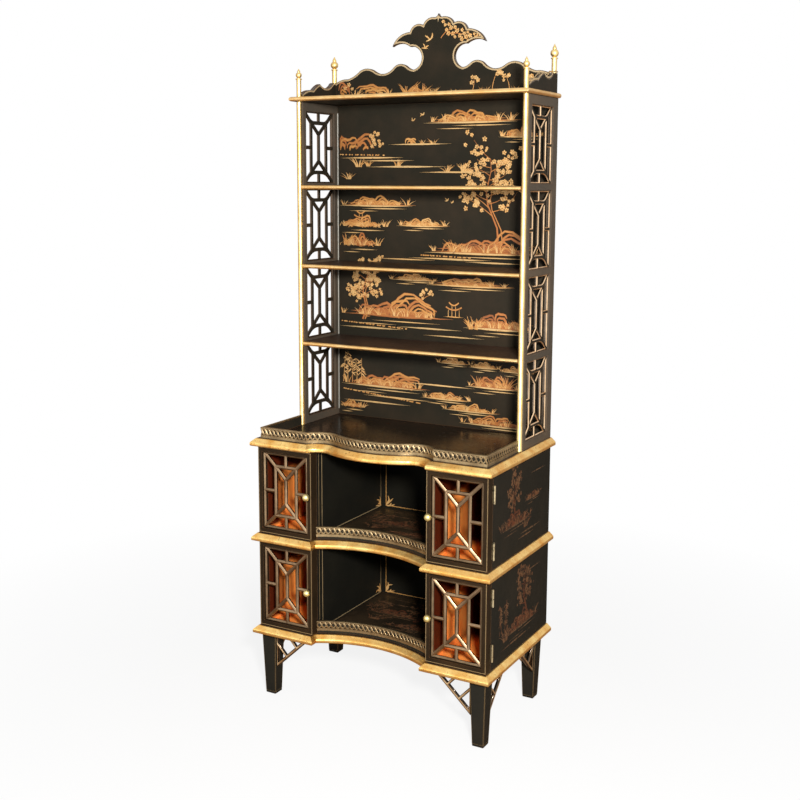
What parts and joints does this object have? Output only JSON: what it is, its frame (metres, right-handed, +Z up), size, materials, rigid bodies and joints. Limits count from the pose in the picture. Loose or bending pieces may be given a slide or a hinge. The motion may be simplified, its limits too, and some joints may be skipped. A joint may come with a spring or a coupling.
{
  "type": "display cabinet",
  "caption": "Tall black japanned display cabinet with gilt mouldings: open shelves between fretwork sides under a shaped cresting, over a tiered base with latticed doors and niches.",
  "frame": {"origin": "on the floor, under the middle of the overall width and depth", "axes": "+Z up, the doors face -Y, +X to the right of someone facing the doors"},
  "size_m": [0.836, 0.5, 2.176],
  "materials": {
    "black_japanned_wood": "black lacquer rubbed to a soft gloss",
    "gilded_wood": "gold leaf",
    "antique_gilded_wood": "dulled gilding on mouldings",
    "aged_brass": "aged brass"
  },
  "bodies": {
    "cabinet": {"bottom_board": "black_japanned_wood", "middle_board": "black_japanned_wood", "top_board": "black_japanned_wood", "base_back": "black_japanned_wood", "top_rim": "black_japanned_wood", "niche_rims": "black_japanned_wood", "leg_brackets": "black_japanned_wood", "back_board": "black_japanned_wood", "lower_shelf": "black_japanned_wood", "middle_shelf": "black_japanned_wood", "upper_shelf": "black_japanned_wood", "cornice_board": "black_japanned_wood", "cresting": "black_japanned_wood", "left_lower_side": "black_japanned_wood", "left_lower_partition": "black_japanned_wood", "right_lower_side": "black_japanned_wood", "right_lower_partition": "black_japanned_wood", "left_upper_side": "black_japanned_wood", "left_upper_partition": "black_japanned_wood", "right_upper_side": "black_japanned_wood", "right_upper_partition": "black_japanned_wood", "left_front_leg": "black_japanned_wood", "left_rear_leg": "black_japanned_wood", "right_front_leg": "black_japanned_wood", "right_rear_leg": "black_japanned_wood", "left_side_frame": "black_japanned_wood", "left_side_frets": "black_japanned_wood", "left_wing": "black_japanned_wood", "right_side_frame": "black_japanned_wood", "right_side_frets": "black_japanned_wood", "right_wing": "black_japanned_wood", "bottom_moulding": "gilded_wood", "middle_moulding": "gilded_wood", "top_moulding": "gilded_wood", "shelf_nosings": "gilded_wood", "cornice_nosing": "gilded_wood", "left_column": "gilded_wood", "right_column": "gilded_wood", "finials": "gilded_wood", "top_gallery": "aged_brass", "upper_niche_gallery": "aged_brass", "lower_niche_gallery": "aged_brass", "carcass_hinge_leaves": "aged_brass", "hinge_pins": "aged_brass"},
    "left_lower_door": {"left_lower_door_frame": "black_japanned_wood", "left_lower_door_lattice": "antique_gilded_wood", "left_lower_door_knob": "aged_brass", "left_lower_door_hinge_leaves": "aged_brass"},
    "right_lower_door": {"right_lower_door_frame": "black_japanned_wood", "right_lower_door_lattice": "antique_gilded_wood", "right_lower_door_knob": "aged_brass", "right_lower_door_hinge_leaves": "aged_brass"},
    "left_upper_door": {"left_upper_door_frame": "black_japanned_wood", "left_upper_door_lattice": "antique_gilded_wood", "left_upper_door_knob": "aged_brass", "left_upper_door_hinge_leaves": "aged_brass"},
    "right_upper_door": {"right_upper_door_frame": "black_japanned_wood", "right_upper_door_lattice": "antique_gilded_wood", "right_upper_door_knob": "aged_brass", "right_upper_door_hinge_leaves": "aged_brass"}
  },
  "joints": [
    {"name": "left_lower_door_hinge", "type": "hinge", "parent": "cabinet", "child": "left_lower_door", "pos_m": [-0.4055, -0.18775, 0.3755], "axis": [0, 0, -1], "range_deg": [0, 175]},
    {"name": "right_lower_door_hinge", "type": "hinge", "parent": "cabinet", "child": "right_lower_door", "pos_m": [0.4055, -0.18775, 0.3755], "axis": [0, 0, 1], "range_deg": [0, 175]},
    {"name": "left_upper_door_hinge", "type": "hinge", "parent": "cabinet", "child": "left_upper_door", "pos_m": [-0.4055, -0.18775, 0.6845], "axis": [0, 0, -1], "range_deg": [0, 175]},
    {"name": "right_upper_door_hinge", "type": "hinge", "parent": "cabinet", "child": "right_upper_door", "pos_m": [0.4055, -0.18775, 0.6845], "axis": [0, 0, 1], "range_deg": [0, 175]}
  ]
}
